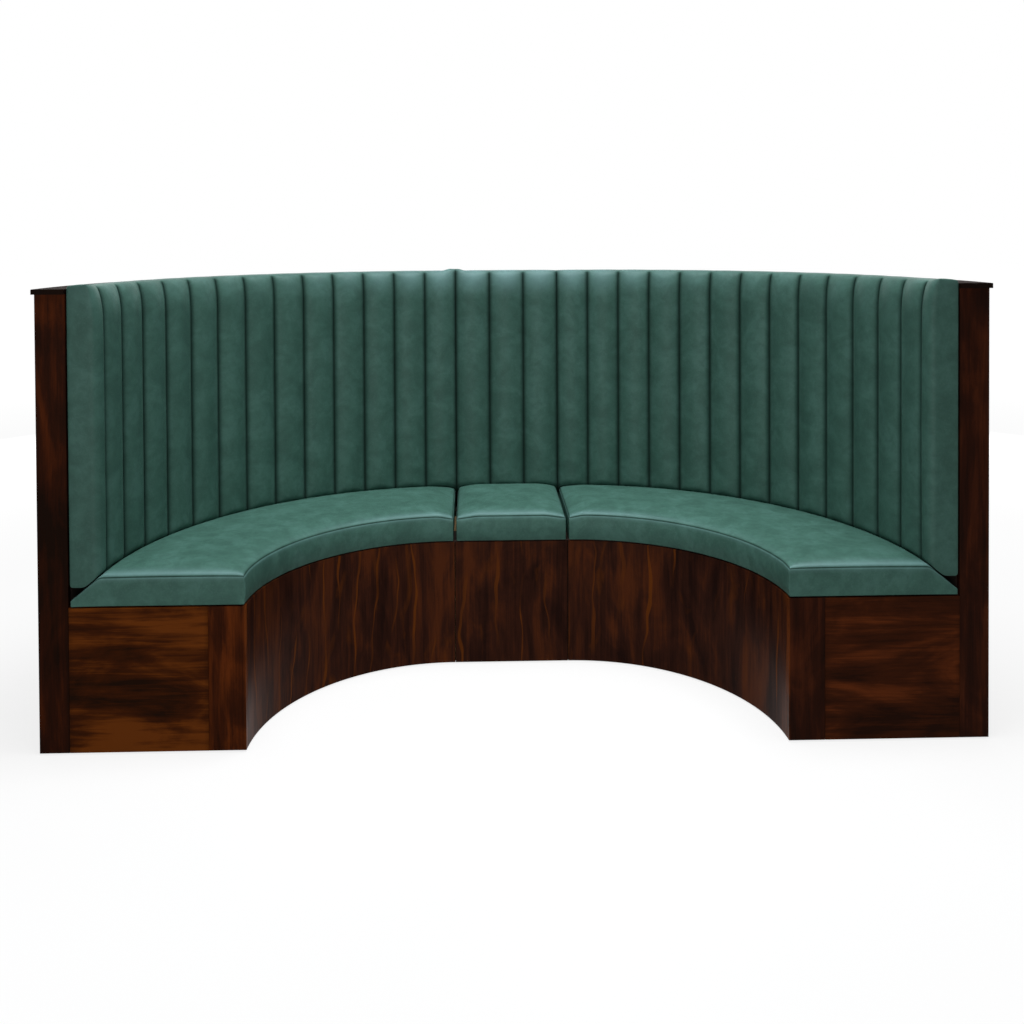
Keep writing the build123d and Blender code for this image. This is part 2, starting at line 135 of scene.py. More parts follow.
def smooth_step(share):
    share = min(max(share, 0.0), 1.0)
    return share * share * (3 - 2 * share)


def soft_min(a, b, width):
    """The smaller of two heights, with their meeting rounded over width."""
    mix = max(width - abs(a - b), 0.0) / width
    return min(a, b) - mix * mix * width / 4


def module_place(module, end_inset, joint_inset):
    """A function from (share along, radius, height) to a point of one module.

    The share runs from the free end to the joint in a wing, and from left to right
    in the centre.
    """
    def centre(share, radius, height):
        reach = HALF_CENTRE - joint_inset
        return Vector(((2 * share - 1) * reach, END_Y + radius, height))

    def right(share, radius, height):
        start = math.asin(end_inset / radius)
        stop = math.pi / 2 - math.asin(joint_inset / radius)
        turn = start + (stop - start) * share
        return Vector((HALF_CENTRE + radius * math.cos(turn), END_Y + radius * math.sin(turn), height))

    def left(share, radius, height):
        point = right(share, radius, height)
        point.x = -point.x
        return point

    return {"centre": centre, "right": right, "left": left}[module]


def graded(length, fine, coarse, growth=1.6):
    """Places from 0 to length, even in the middle and closer together towards the ends.

    The closer ones take up no more than about a third of the length at each end.
    """
    edge = [0.0]
    step = fine
    while step < coarse and edge[-1] + step < length / 3:
        edge.append(edge[-1] + step)
        step *= growth
    middle = length - 2 * edge[-1]
    count = max(1, round(middle / coarse))
    even = [edge[-1] + middle * n / count for n in range(1, count)]
    return edge + even + [length - place for place in reversed(edge)]


# Meshes made as closed boxes of quads

class Lattice:
    """The skin of a box of lattice corners, placed by a function of their numbers."""

    def __init__(self, name, counts, place):
        self.counts = counts
        self.corners = []
        self.index = {}
        points = []
        for i in range(counts[0] + 1):
            for j in range(counts[1] + 1):
                for k in range(counts[2] + 1):
                    if self.on_skin(i, j, k):
                        self.index[i, j, k] = len(points)
                        self.corners.append((i, j, k))
                        points.append(place(i, j, k))
        mesh = bpy.data.meshes.new(name)
        mesh.from_pydata(points, [], self.quads())
        self.object = bpy.data.objects.new(name, mesh)
        bpy.context.scene.collection.objects.link(self.object)
        self.face_outwards()

    def on_skin(self, i, j, k):
        ni, nj, nk = self.counts
        return i in (0, ni) or j in (0, nj) or k in (0, nk)

    def quads(self):
        faces = []
        for axis in range(3):
            across, up = [other for other in range(3) if other != axis]
            for level in (0, self.counts[axis]):
                for a in range(self.counts[across]):
                    for b in range(self.counts[up]):
                        ring = []
                        for step_a, step_b in ((0, 0), (1, 0), (1, 1), (0, 1)):
                            corner = [0, 0, 0]
                            corner[axis] = level
                            corner[across] = a + step_a
                            corner[up] = b + step_b
                            ring.append(self.index[tuple(corner)])
                        low_side = level == 0
                        faces.append(ring if low_side == (axis == 1) else ring[::-1])
        return faces

    def face_outwards(self):
        """Turns every face over if the closed skin comes out inside out."""
        mesh = self.object.data
        volume = 0.0
        for face in mesh.polygons:
            a, b, c, d = [mesh.vertices[number].co for number in face.vertices]
            volume += a.dot(b.cross(c)) + a.dot(c.cross(d))
        if volume < 0:
            mesh.flip_normals()


def coons(bottom, top, front, rear, across, up):
    """A point of the patch between four edges, each a function of a share."""
    ruled_up = bottom(across).lerp(top(across), up)
    ruled_across = front(up).lerp(rear(up), across)
    low = bottom(0).lerp(bottom(1), across)
    high = top(0).lerp(top(1), across)
    return ruled_up + ruled_across - low.lerp(high, up)


def weights(piece, name, values):
    """A vertex group with one weight for each vertex."""
    group = piece.vertex_groups.new(name=name)
    for number, value in enumerate(values):
        if value > 0:
            group.add([number], value, "REPLACE")


def point_values(piece, name, values):
    """A float attribute on the vertices, for the materials to read."""
    attribute = piece.data.attributes.new(name, "FLOAT", "POINT")
    attribute.data.foreach_set("value", values)


def mark_points(piece, held, seam, painted_highlight):
    """What the cloth holds, where painted shade darkens the seams, and where a painted highlight pales the
    leather.
    """
    weights(piece, "held", held)
    point_values(piece, "seam", seam)
    point_values(piece, "painted_highlight", painted_highlight)


# Cloth under pressure, held at its seams

PUFF_FRAMES = 16
PUFF_SETTINGS = {
    "quality": 4,
    "mass": 0.3,
    "tension_stiffness": 25,
    "compression_stiffness": 25,
    "shear_stiffness": 10,
    "bending_stiffness": 1.5,
    "use_pressure": True,
    "uniform_pressure_force": 4.0,
    "vertex_group_mass": "held",
    "pin_stiffness": 1.0,
}


def puff(pieces, caps):
    """Swells the pads together, and lets each point move no further than its cap."""
    for piece in pieces:
        cloth = piece.modifiers.new("Puff", "CLOTH")
        for key, value in PUFF_SETTINGS.items():
            setattr(cloth.settings, key, value)
        cloth.settings.effector_weights.gravity = 0
        cloth.collision_settings.use_collision = False
        cloth.point_cache.frame_start = 1
        cloth.point_cache.frame_end = PUFF_FRAMES
    scene = bpy.context.scene
    for number in range(1, PUFF_FRAMES + 1):
        scene.frame_set(number)
    depsgraph = bpy.context.evaluated_depsgraph_get()
    results = []
    for piece in pieces:
        swollen = piece.evaluated_get(depsgraph)
        results.append([vertex.co.copy() for vertex in swollen.data.vertices])
    for piece, result, cap in zip(pieces, results, caps):
        for vertex, moved, limit in zip(piece.data.vertices, result, cap):
            step = moved - vertex.co
            if step.length > 0 and limit > 0:
                step *= limit * (1 - math.exp(-step.length / limit)) / step.length
                vertex.co += step
        piece.modifiers.remove(piece.modifiers["Puff"])
    scene.frame_set(1)


# Seat pads

SEAT_MIDDLE = (SEAT_FRONT + SEAT_REAR) / 2
SHOULDER = SEAT_REAR - BEVEL_DEPTH
BEVEL_LOW = RAIL_TOP + SEAT_LIP
BEVEL_SLOPE = (SEAM_HEIGHT + SHOULDER_RISE - BEVEL_LOW) / BEVEL_DEPTH
SEAM_LINE = SEAT_FRONT + BOXING_SWELL

# Steps between the points of a seat's mesh, and how far its filling swells it
SEAT_FINE = 0.0028
SEAT_COARSE = 0.012
BOXING_COARSE = 0.011
SEAT_SWELL = 0.005
SEAT_END_SWELL = 0.0012
HELD_BEFORE_SHOULDER = 0.02
SEAM_PULL = 0.0022

# How dark the painted shade in the seam is, and how strong the painted highlight on the rolled top and the
# boxing's lip is, step by step away from it
SEAM_SHADE_STEPS = (1.0, 0.3)
ROLL_HIGHLIGHT = (0.0, 0.7, 1.0, 0.5, 0.15)
LIP_HIGHLIGHT = (0.0, 0.6, 0.2)
SIDE_HIGHLIGHT = 0.1
FACING_POWER = 5


def step_value(steps, number):
    """The value of a step away from a seam, and nothing beyond the last."""
    return steps[number] if number < len(steps) else 0.0


def arc_length(module, radius):
    """How long a pad of a module is at a radius."""
    return 2 * HALF_CENTRE if module == "centre" else radius * math.pi / 2


def end_distances(module, share, length):
    """Distances from a place along a pad to its nearest joint and to its free end."""
    if module == "centre":
        return min(share, 1 - share) * length, length
    return (1 - share) * length, share * length


def end_fall(distance):
    """How far the crown has risen at a distance from a pad's end."""
    rise = 1 - (1 - min(distance / END_FALL, 1.0)) ** END_FALL_POWER
    return END_CROWN_SHARE + (1 - END_CROWN_SHARE) * rise


def edge_roll(distance):
    """How far the top has rolled up at a distance from a seam, from 0 to 1."""
    short = 1 - min(max(distance, 0.0) / EDGE_ROLL, 1.0)
    inner, outer = EDGE_ROLL_POWERS
    return (1 - short ** inner) ** outer


def seat_height(module, radius, to_joint, to_free):
    """Height of the seat's top surface."""
    share = (radius - SEAM_LINE) / (SHOULDER - SEAM_LINE)
    from_middle = 2 * share - 1
    if from_middle < 0:
        crown = 1 - (-from_middle) ** CROWN_POWER
    else:
        crown = 1 - (1 - REAR_CROWN_SHARES[module]) * from_middle ** 2
    droop = CORNER_DROOP * (1 - smooth_step(to_joint / END_FALL))
    droop += FREE_DROOP_SHARE * CORNER_DROOP * (1 - smooth_step(to_free / END_FALL))
    rise = end_fall(min(to_joint, to_free))
    roll = edge_roll(radius - SEAM_LINE) * edge_roll(to_joint) * edge_roll(to_free)
    crown_rise = SEAT_CROWN - EDGE_ROLL_RISE
    height = SEAM_HEIGHT + crown_rise * crown * rise + EDGE_ROLL_RISE * roll - droop
    if module == "centre":
        across = 1 - min(to_joint / HALF_CENTRE, 1.0)
        height += CENTRE_REAR_ARCH * smooth_step(share) * math.sqrt(1 - across * across)
    bevel = BEVEL_LOW + (SEAT_REAR - radius) * BEVEL_SLOPE
    return soft_min(height, bevel, SHOULDER_SOFT)


def seat_pad(module):
    """One seat pad before its filling swells it, and how far each point may swell."""
    end_inset = PAD_END_INSET if module != "centre" else 0.0
    place = module_place(module, end_inset, SEAT_JOINT_INSET)
    length = arc_length(module, SEAT_MIDDLE)
    along = [distance / length for distance in graded(length, SEAT_FINE, SEAT_COARSE)]
    top_radii = [SEAM_LINE + d for d in graded(SHOULDER - SEAM_LINE, SEAT_FINE, SEAT_COARSE)]
    bevel_steps = graded(SEAT_REAR - SHOULDER, SEAT_FINE, SEAT_COARSE)
    top_radii += [SHOULDER + d for d in bevel_steps[1:]]
    heights = graded(SEAM_HEIGHT - SEAT_BOTTOM, SEAT_FINE, BOXING_COARSE)
    ups = [height / heights[-1] for height in heights]
    counts = (len(along) - 1, len(top_radii) - 1, len(ups) - 1)
    pocket = SEAT_BOARD_INSET - POCKET_SLACK

    def bottom_point(i, j):
        """The underside has a pocket that the seat board lies in."""
        share = along[i]
        radius = top_radii[j] + (SEAT_FRONT - SEAM_LINE + BOXING_TUCK) * (j == 0)
        height = SEAT_BOTTOM
        if j == 1:
            radius = SEAT_FRONT + pocket
        elif j == counts[1] - 1:
            radius = SEAT_REAR - pocket
        if i == 1:
            share = pocket / length
        elif i == counts[0] - 1:
            share = 1 - pocket / length
        if 1 < i < counts[0] - 1 and 1 < j < counts[1] - 1:
            height = SEAT_BOARD_TOP + POCKET_GAP
        return place(share, radius, height)

    def corner_place(i, j, k):
        if k == 0:
            return bottom_point(i, j)
        share = along[i]
        radius = top_radii[j]
        to_joint, to_free = end_distances(module, share, length)
        top = seat_height(module, radius, to_joint, to_free)
        up = ups[k]
        if j == 0:
            tuck = max(BOXING_TUCK_SHARE - up, 0)
            radius -= BOXING_SWELL * math.sin(math.pi * up) - BOXING_TUCK * tuck / BOXING_TUCK_SHARE
        return place(share, radius, SEAT_BOTTOM + (top - SEAT_BOTTOM) * up)

    shape = Lattice("seat_upholstery_" + module, counts, corner_place)
    return shape, mark_seat(shape, module, along, top_radii)


def mark_seat(shape, module, along, top_radii):
    """Holds, painted seam shade and painted highlight of a seat pad. Returns how far each point may swell.
    """
    counts = shape.counts
    held = []
    caps = []
    seam = []
    painted_highlight = []
    for i, j, k in shape.corners:
        at_end = i in (0, counts[0])
        on_top = k == counts[2]
        on_bevel = top_radii[j] > SHOULDER - HELD_BEFORE_SHOULDER
        fixed = k == 0 or on_bevel or (on_top and (at_end or j == 0))
        held.append(1.0 if fixed else 0.0)
        caps.append(0.0 if fixed else (SEAT_END_SWELL if at_end else SEAT_SWELL))
        # The seam rows get painted shade; the rolled top edge and the boxing's lip get a painted highlight,
        # strongest where they face the front
        near = min(j, i, counts[0] - i) if on_top else counts[2] - k
        seen = on_top or j == 0 or at_end
        seam.append(step_value(SEAM_SHADE_STEPS, near) if seen else 0.0)
        if on_top:
            facing = 1.0 if module == "centre" else math.sin(along[i] * math.pi / 2) ** FACING_POWER
            front = SIDE_HIGHLIGHT + (1 - SIDE_HIGHLIGHT) * facing
            first_end = SIDE_HIGHLIGHT if module == "centre" else 1.0
            painted_highlight.append(max(step_value(ROLL_HIGHLIGHT, j) * front,
                             step_value(ROLL_HIGHLIGHT, i) * first_end,
                             step_value(ROLL_HIGHLIGHT, counts[0] - i) * SIDE_HIGHLIGHT))
        else:
            painted_highlight.append(step_value(LIP_HIGHLIGHT, near) if seen else 0.0)
    mark_points(shape.object, held, seam, painted_highlight)
    return caps


def pull_seam(shape):
    """Draws a seat's top seam in along its normals, as thread does."""
    mesh = shape.object.data
    normals = [normal.vector.copy() for normal in mesh.vertex_normals]
    last, _, top = shape.counts
    for number, (i, j, k) in enumerate(shape.corners):
        if k == top and (j == 0 or i in (0, last)):
            mesh.vertices[number].co -= normals[number] * SEAM_PULL


# Back pads

# Steps between the points of a back pad's mesh, and how far its filling swells it
BACK_FINE_SHARES = (0.0, 0.025, 0.07, 0.14, 0.24, 0.37, 0.5, 0.63, 0.76, 0.86, 0.93, 0.975)
FACE_STEP = 0.014
ROLL_STEPS = 12
TOP_STEPS = 7
BACK_END_SWELL = 0.0008
BACK_MORE_SWELL = 0.0037
ON_SEAM = 0.001

# How wide the painted shade of a groove is, in channels, how many top rows it fades over, and where the
# painted highlight lies on the top of the roll
SEAM_SHADE = 0.155
SEAM_FADE_ROWS = 3
TOP_HIGHLIGHT_REACH = 0.1
TOP_HIGHLIGHT_SPREAD = 0.5
GROOVE_HIGHLIGHT = 0.25
BULGE_HIGHLIGHT = 0.85
FAR_HIGHLIGHT = 0.08
NEAR_HIGHLIGHT = 0.92


def bezier(points, share):
    """A point of the Bezier curve through its first and last points."""
    points = [Vector(point) for point in points]
    while len(points) > 1:
        points = [a.lerp(b, share) for a, b in zip(points, points[1:])]
    return points[0]


def bevel_underside(radius):
    """Height of a back pad's slanted underside, just above the seat's bevel."""
    return BEVEL_LOW + (SEAT_REAR - radius) * BEVEL_SLOPE + BEVEL_GAP


def back_outline(inset, drop, rear_inset):
    """The four edges of a back pad's upright section, each a function of a share."""
    rear = BACK_REAR - rear_inset
    front = BACK_FRONT + inset
    roll_height = BACK_TOP - ROLL_HEIGHT
    crest = (BACK_FRONT + CREST_SETBACK, BACK_TOP - drop)
    crest_reach = ROLL_PULL_SHARE * (crest[0] - front)
    roll = ((front, roll_height), (front, roll_height + ROLL_PULL_SHARE * ROLL_HEIGHT),
            (crest[0] - crest_reach, crest[1]), crest)
    rear_top = (rear, BACK_TOP - REAR_DROP - drop)
    bevel_start = SEAT_REAR - (BACK_BOTTOM - BEVEL_GAP - BEVEL_LOW) / BEVEL_SLOPE
    low_front = Vector((front, bevel_underside(front)))
    low_middle = Vector((bevel_start, BACK_BOTTOM))
    low_rear = Vector((rear, BACK_BOTTOM))
    face_share = 1 - ROLL_STEPS / face_rows()

    def front_edge(share):
        if share < face_share:
            return low_front.lerp(Vector(roll[0]), share / face_share)
        return bezier(roll, (share - face_share) / (1 - face_share))

    def rear_edge(share):
        return low_rear.lerp(Vector(rear_top), share)

    def top_edge(share):
        return bezier((crest, ((crest[0] + rear) / 2, crest[1]), rear_top), share)

    def bottom_edge(share):
        if share < 0.5:
            return low_front.lerp(low_middle, share * 2)
        return low_middle.lerp(low_rear, share * 2 - 1)

    return bottom_edge, top_edge, front_edge, rear_edge


def face_rows():
    return round((BACK_TOP - ROLL_HEIGHT - BACK_BOTTOM) / FACE_STEP) + ROLL_STEPS


def channel_columns(wing):
    """Places along a back pad, counted in channels from its first end."""
    first = END_CHANNEL if wing else 0.0
    channels = WING_CHANNELS if wing else CENTRE_CHANNELS
    columns = [share * first for share in BACK_FINE_SHARES] if wing else []
    columns += [first + number + share for number in range(channels) for share in BACK_FINE_SHARES]
    return columns + [first + channels]


def crease_rims(shape, ends):
    """Keeps the rims of the chosen end faces sharp when the mesh is smoothed."""
    mesh = shape.object.data
    _, last_j, last_k = shape.counts

    def on_rim(number):
        i, j, k = shape.corners[number]
        return i in ends and (j in (0, last_j) or k in (0, last_k))

    creases = [1.0 if all(on_rim(number) for number in edge.vertices) else 0.0 for edge in mesh.edges]
    mesh.attributes.new("crease_edge", "FLOAT", "EDGE").data.foreach_set("value", creases)


def quarter_round(distance, reach):
    """Falls from 1 to 0 over the reach, as a quarter of a circle does."""
    short = 1 - min(distance / reach, 1.0)
    return 1 - math.sqrt(1 - short * short)


def back_pad(module):
    """One back pad before its filling swells it, and how far each point may swell."""
    wing = module != "centre"
    first = END_CHANNEL if wing else 0.0
    place = module_place(module, PAD_END_INSET if wing else 0.0, PAD_GAP)
    length = arc_length(module, BACK_FRONT)
    columns = channel_columns(wing)
    shares = [column / columns[-1] for column in columns]
    rows = face_rows()
    counts = (len(columns) - 1, TOP_STEPS, rows)
    outlines = []
    for column, share in zip(columns, shares):
        within = (column - first) % 1.0
        hollow = 1 - math.sin(math.pi * within) ** CHANNEL_POWER
        if wing and column < first and within < 0.5:
            # The part channel has no groove where it turns round the end
            hollow = 0.0
        inset = GROOVE_DEPTH * hollow
        rear_inset = 0.0
        if wing:
            inset += END_ROUND * quarter_round(share * length, END_ROUND_REACH)
            rear_inset = END_REAR_ROUND * quarter_round(share * length, END_REAR_REACH)
        outlines.append(back_outline(inset, GROOVE_DROP * hollow, rear_inset))

    def corner_place(i, j, k):
        radius, height = coons(*outlines[i], j / counts[1], k / rows)
        to_joint, to_free = end_distances(module, shares[i], length)
        near_top = 1 - smooth_step((BACK_TOP - height) / PROUD_REACH)
        if module in PROUD_WIDTHS:
            to_left_joint = to_joint if wing else shares[i] * length
            past = (to_left_joint - PROUD_WIDTHS[module]) / PROUD_FALL
            height += PROUD_CORNER * near_top * (1 - smooth_step(past))
        if wing:
            height += END_PROUD * near_top * (1 - smooth_step(to_free / END_PROUD_REACH))
        return place(shares[i], radius, height)

    shape = Lattice("back_upholstery_" + module, counts, corner_place)
    return shape, mark_back(shape, module, columns, length)


def mark_back(shape, module, columns, length):
    """Holds, painted groove shade and painted highlight of a back pad. Returns how far each point may
    swell.
    """
    counts = shape.counts
    rows = counts[2]
    wing = module != "centre"
    first = END_CHANNEL if wing else 0.0
    held = []
    caps = []
    seam = []
    painted_highlight = []
    for number, (i, j, k) in enumerate(shape.corners):
        from_groove = abs(columns[i] - first - round(columns[i] - first))
        _, to_free = end_distances(module, columns[i] / columns[-1], length)
        sewn = from_groove < ON_SEAM and j == 0 and k < rows - 1
        fixed = sewn or k == 0 or j == counts[1] or (i == 0 and not wing) or i == counts[0]
        held.append(1.0 if fixed else 0.0)
        free = smooth_step(to_free / END_ROUND_REACH) if wing else 1.0
        caps.append(0.0 if fixed else BACK_END_SWELL + BACK_MORE_SWELL * free)
        fade = smooth_step((rows - 0.5 - k) / SEAM_FADE_ROWS)
        at_joint = i == counts[0] or (i == 0 and not wing)
        # Painted shade in the grooves, and over the whole end face where a pad meets its neighbour at a
        # joint
        seam.append(max(0.0, 1 - from_groove / SEAM_SHADE) * fade if j == 0 else float(at_joint))
        # Painted highlight on the top of the roll, on each channel's bulge, strongest in the middle of the
        # booth
        x, _, height = shape.object.data.vertices[number].co
        top_highlight = smooth_step(1 - (BACK_TOP - height) / TOP_HIGHLIGHT_REACH)
        bulge_highlight = GROOVE_HIGHLIGHT + BULGE_HIGHLIGHT * math.sin(math.pi * ((columns[i] - first) % 1.0))
        painted_highlight.append(top_highlight * bulge_highlight * (FAR_HIGHLIGHT + NEAR_HIGHLIGHT * math.exp(-(x / TOP_HIGHLIGHT_SPREAD) ** 2)))
    mark_points(shape.object, held, seam, painted_highlight)
    return caps


# Materials

def new_material(name):
    material = bpy.data.materials.new(name)
    material.use_nodes = True
    material.node_tree.nodes.clear()
    return material


def put(tree, kind, values=None, **settings):
    """Adds a node. Values are set on its sockets, or linked where they are sockets."""
    node = tree.nodes.new(kind)
    for key, value in settings.items():
        setattr(node, key, value)
    for key, value in (values or {}).items():
        socket = node.inputs[key]
        if isinstance(value, bpy.types.NodeSocket):
            tree.links.new(value, socket)
        else:
            socket.default_value = value
    return node


def rgb(red, green, blue):
    """A colour written as it is seen on a screen, from 0 to 255."""
    def linear(value):
        value /= 255
        return value / 12.92 if value <= 0.04045 else ((value + 0.055) / 1.055) ** 2.4
    return linear(red), linear(green), linear(blue), 1.0


def math_node(tree, operation, first, second=0.0, third=0.0):
    return put(tree, "ShaderNodeMath", {0: first, 1: second, 2: third}, operation=operation).outputs[0]


def product(tree, first, second):
    return math_node(tree, "MULTIPLY", first, second)


def distance_to(tree, value, line):
    """How far a value is from a line, either way."""
    return math_node(tree, "ABSOLUTE", math_node(tree, "SUBTRACT", value, line))


def noise_node(tree, vector, scale, detail=2.0, roughness=0.5, distortion=0.0):
    values = {"Vector": vector, "Scale": scale, "Detail": detail, "Roughness": roughness,
              "Distortion": distortion}
    return put(tree, "ShaderNodeTexNoise", values).outputs["Fac"]


def ramp(tree, share, stops):
    """A colour ramp from (place, colour) stops."""
    stops = list(stops)
    node = put(tree, "ShaderNodeValToRGB", {"Fac": share})
    elements = node.color_ramp.elements
    while len(elements) < len(stops):
        elements.new(0.5)
    for element, (place, colour) in zip(elements, stops):
        element.position = place
        element.color = colour
    return node.outputs["Color"]


def level(tree, share, low, high, out_low=0.0, out_high=1.0):
    """Maps low to high on to the two output values, and stops at them."""
    values = {"Value": share, "From Min": low, "From Max": high, "To Min": out_low, "To Max": out_high}
    return put(tree, "ShaderNodeMapRange", values).outputs["Result"]


def mix_colours(tree, share, first, second, blend="MIX"):
    node = put(tree, "ShaderNodeMix", data_type="RGBA", blend_type=blend)
    for socket, value in ((node.inputs[0], share), (node.inputs[6], first), (node.inputs[7], second)):
        if isinstance(value, bpy.types.NodeSocket):
            tree.links.new(value, socket)
        else:
            socket.default_value = value
    return node.outputs[2]


def object_place(tree):
    """Where a point lies in its object, in metres."""
    return put(tree, "ShaderNodeTexCoord").outputs["Object"]


def scaled(tree, vector, x, y, z):
    values = {"Vector": vector, "Scale": (x, y, z)}
    return put(tree, "ShaderNodeMapping", values).outputs["Vector"]


def bump(tree, height, distance, strength=1.0, normal=None):
    values = {"Height": height, "Distance": distance, "Strength": strength}
    if normal:
        values["Normal"] = normal
    return put(tree, "ShaderNodeBump", values).outputs["Normal"]


def finish_material(tree, values):
    """The surface shader and the output."""
    shader = put(tree, "ShaderNodeBsdfPrincipled", values)
    output = put(tree, "ShaderNodeOutputMaterial")
    tree.links.new(shader.outputs["BSDF"], output.inputs["Surface"])


# Leather: its dark, middle and pale clouds, its patches and its specks
LEATHER = ((63, 99, 89), (70, 109, 98), (78, 118, 108), (60, 93, 84), (98, 134, 124))
# Colours of the painted highlight on rolled edges, and of the painted shade in seams and grooves
LEATHER_HIGHLIGHT = rgb(130, 168, 171)
LEATHER_SEAM_SHADE = rgb(4, 22, 16)
LEATHER_TINT = (0.85, 1.0, 1.0, 1.0)
LEATHER_SPECULAR = 0.14
# The backs get a darker copy of the seat leather: painted shade
BACK_PAINTED_SHADE = 0.91
# How much painted highlight is mixed in, and how narrow and how dark the painted seam shade is
HIGHLIGHT_SHARE = 0.45
SEAM_SHADE_POWER = 2.2
SEAM_SHADE_SHARE = 0.95

# Its textures: scale, detail, roughness and distortion
LEATHER_CLOUDS = (15.0, 4.0, 0.6, 0.5)
LEATHER_PATCHES = (46.0, 4.0, 0.6, 0.4)
LEATHER_SPECKS = (220.0, 2.0, 0.6)
LEATHER_CREASES = (70.0, 6.0, 0.65, 1.2)
LEATHER_FINE = (900.0, 2.0, 0.6)
PEBBLE_SCALE = 520.0

# Where its clouds change, and what part of each range shows or roughens, as level takes it
CLOUD_STOPS = (0.36, 0.5, 0.64)
PATCH_RANGE = (0.45, 0.68, 0.0, 0.5)
SPECK_RANGE = (0.5, 0.75, 0.0, 0.2)
PEBBLE_RANGE = (0.0, 0.35)
LEATHER_ROUGH = (0.3, 0.7, 0.36, 0.46)
SEAM_ROUGH = (0.1, 0.8, 0.36, 0.95)

# Its relief: depth in metres and strength
CREASE_BUMP = (0.0009, 0.45)
PEBBLE_BUMP = (0.00022, 0.5)
FINE_BUMP = (0.0001, 0.4)


def green_leather(name, painted_shade):
    """Mottled green vinyl leather with a pebbled grain, with painted shade in its seams and grooves and
    painted highlights on its rolled edges. The shade argument darkens the whole copy as painted shade."""
    material = new_material(name)
    tree = material.node_tree
    place = object_place(tree)
    clouds = noise_node(tree, place, *LEATHER_CLOUDS)
    patches = noise_node(tree, place, *LEATHER_PATCHES)
    specks = noise_node(tree, place, *LEATHER_SPECKS)
    dark, mid, pale, patch, speck = [rgb(*[value * painted_shade for value in colour]) for colour in LEATHER]
    base = ramp(tree, clouds, zip(CLOUD_STOPS, (dark, mid, pale)))
    base = mix_colours(tree, level(tree, patches, *PATCH_RANGE), base, patch)
    base = mix_colours(tree, level(tree, specks, *SPECK_RANGE), base, speck)
    # Painted highlight, as much as the mesh's attribute asks
    painted_highlight = put(tree, "ShaderNodeAttribute", attribute_name="painted_highlight").outputs["Fac"]
    base = mix_colours(tree, product(tree, painted_highlight, HIGHLIGHT_SHARE), base, LEATHER_HIGHLIGHT)
    # Painted shade in seams and grooves, from the mesh's attribute
    seam = put(tree, "ShaderNodeAttribute", attribute_name="seam").outputs["Fac"]
    painted_seam_shade = product(tree, math_node(tree, "POWER", seam, SEAM_SHADE_POWER), SEAM_SHADE_SHARE)
    base = mix_colours(tree, painted_seam_shade, base, LEATHER_SEAM_SHADE)
    pebbles = put(tree, "ShaderNodeTexVoronoi", {"Vector": place, "Scale": PEBBLE_SCALE},
                  feature="DISTANCE_TO_EDGE").outputs["Distance"]
    normal = bump(tree, noise_node(tree, place, *LEATHER_CREASES), *CREASE_BUMP)
    normal = bump(tree, level(tree, pebbles, *PEBBLE_RANGE), *PEBBLE_BUMP, normal)
    normal = bump(tree, noise_node(tree, place, *LEATHER_FINE), *FINE_BUMP, normal)
    rough = math_node(tree, "MAXIMUM", level(tree, patches, *LEATHER_ROUGH), level(tree, seam, *SEAM_ROUGH))
    finish_material(tree, {"Base Color": base, "Roughness": rough, "Normal": normal,
                           "Specular IOR Level": LEATHER_SPECULAR, "Specular Tint": LEATHER_TINT})
    return material


# Directions that the grain of a board runs in
UPRIGHT = "upright"
LEVEL = "level"
WOOD_VEIN = rgb(112, 58, 18)
WOOD_WORN = rgb(128, 66, 28)
WOOD_JOINT = rgb(9, 5, 4)
WOOD_TINT = (1.0, 0.85, 0.75, 1.0)
WOOD_SPECULAR = 0.03
BOARD_SEAMS = (side("end_panel_right", 0, 0), side("end_panel_right", 1, 0))
STILE_EDGE = side("end_stile_right", 0, 0)
PANEL_MIDDLE = side("end_panel_right", 1, 2) * 0.5

# Textures of a board: scales across and along it, detail, roughness and distortion
WOOD_STREAKS = (34.0, 2.6, 5.0, 0.62, 0.5)
WOOD_SMOKE = (9.0, 3.2, 4.0, 0.55, 0.9)
WOOD_LINES = (210.0, 6.0, 3.0, 0.65)
VEIN_DRIFT = (2.2, 1.8, 3.0, 0.5)
VEIN_EDGE = (9.0, 5.0, 2.0)
VEIN_SHOWN = (7.0, 2.4, 2.0, 0.5)
VEIN_SMUDGE = (17.0, 6.0, 3.0, 0.55, 0.6)
VEINS_PER_METRE = 26.0
SMUDGE_SHARE = 0.45

# What each texture adds to the tone and to the relief
STREAK_TONE = 0.38
SMOKE_TONE = 0.5
LINE_TONE = 0.12
STREAK_RELIEF = 0.4
LINE_RELIEF = 0.6
WOOD_BUMP = (0.0003, 0.3)

# Ranges of the tone, the veins and the roughness, as level takes them
TONE_RANGE = (0.38, 0.62)
TONE_STOPS = (0.08, 0.5, 0.92)
DRIFT_RANGE = (0.0, 1.0, -0.1, 0.1)
EDGE_RANGE = (0.35, 0.7, 0.96, 0.8)
LINE_RANGE = (0.0, 0.06)
SHOWN_RANGE = (0.46, 0.58)
SMUDGE_RANGE = (0.58, 0.72)
WOOD_ROUGH = (0.3, 0.7, 0.42, 0.32)

# Glow by the height from a panel's middle, and a lift by the height of a post
GLOW_REACH = (0.02, 0.17)
GLOW_LOW = -0.4
POST_LIFT_REACH = (0.72, 1.1)
POST_LIFT_LOW = -0.7

# Marks by the distance from a seam, from the inner edge and from a module's joint
SEAM_DARK_RANGE = (0.0, 0.012, 0.6, 0.0)
WEAR_RANGE = (0.0, 0.004, 0.7, 0.0)
WEAR_PATCHES = (0.35, 0.55)
JOINT_RANGE = (0.0008, 0.0026, 0.9, 0.0)

# The left module's grain is finer than the right one's by this factor
LEFT_GRAIN = 1.3


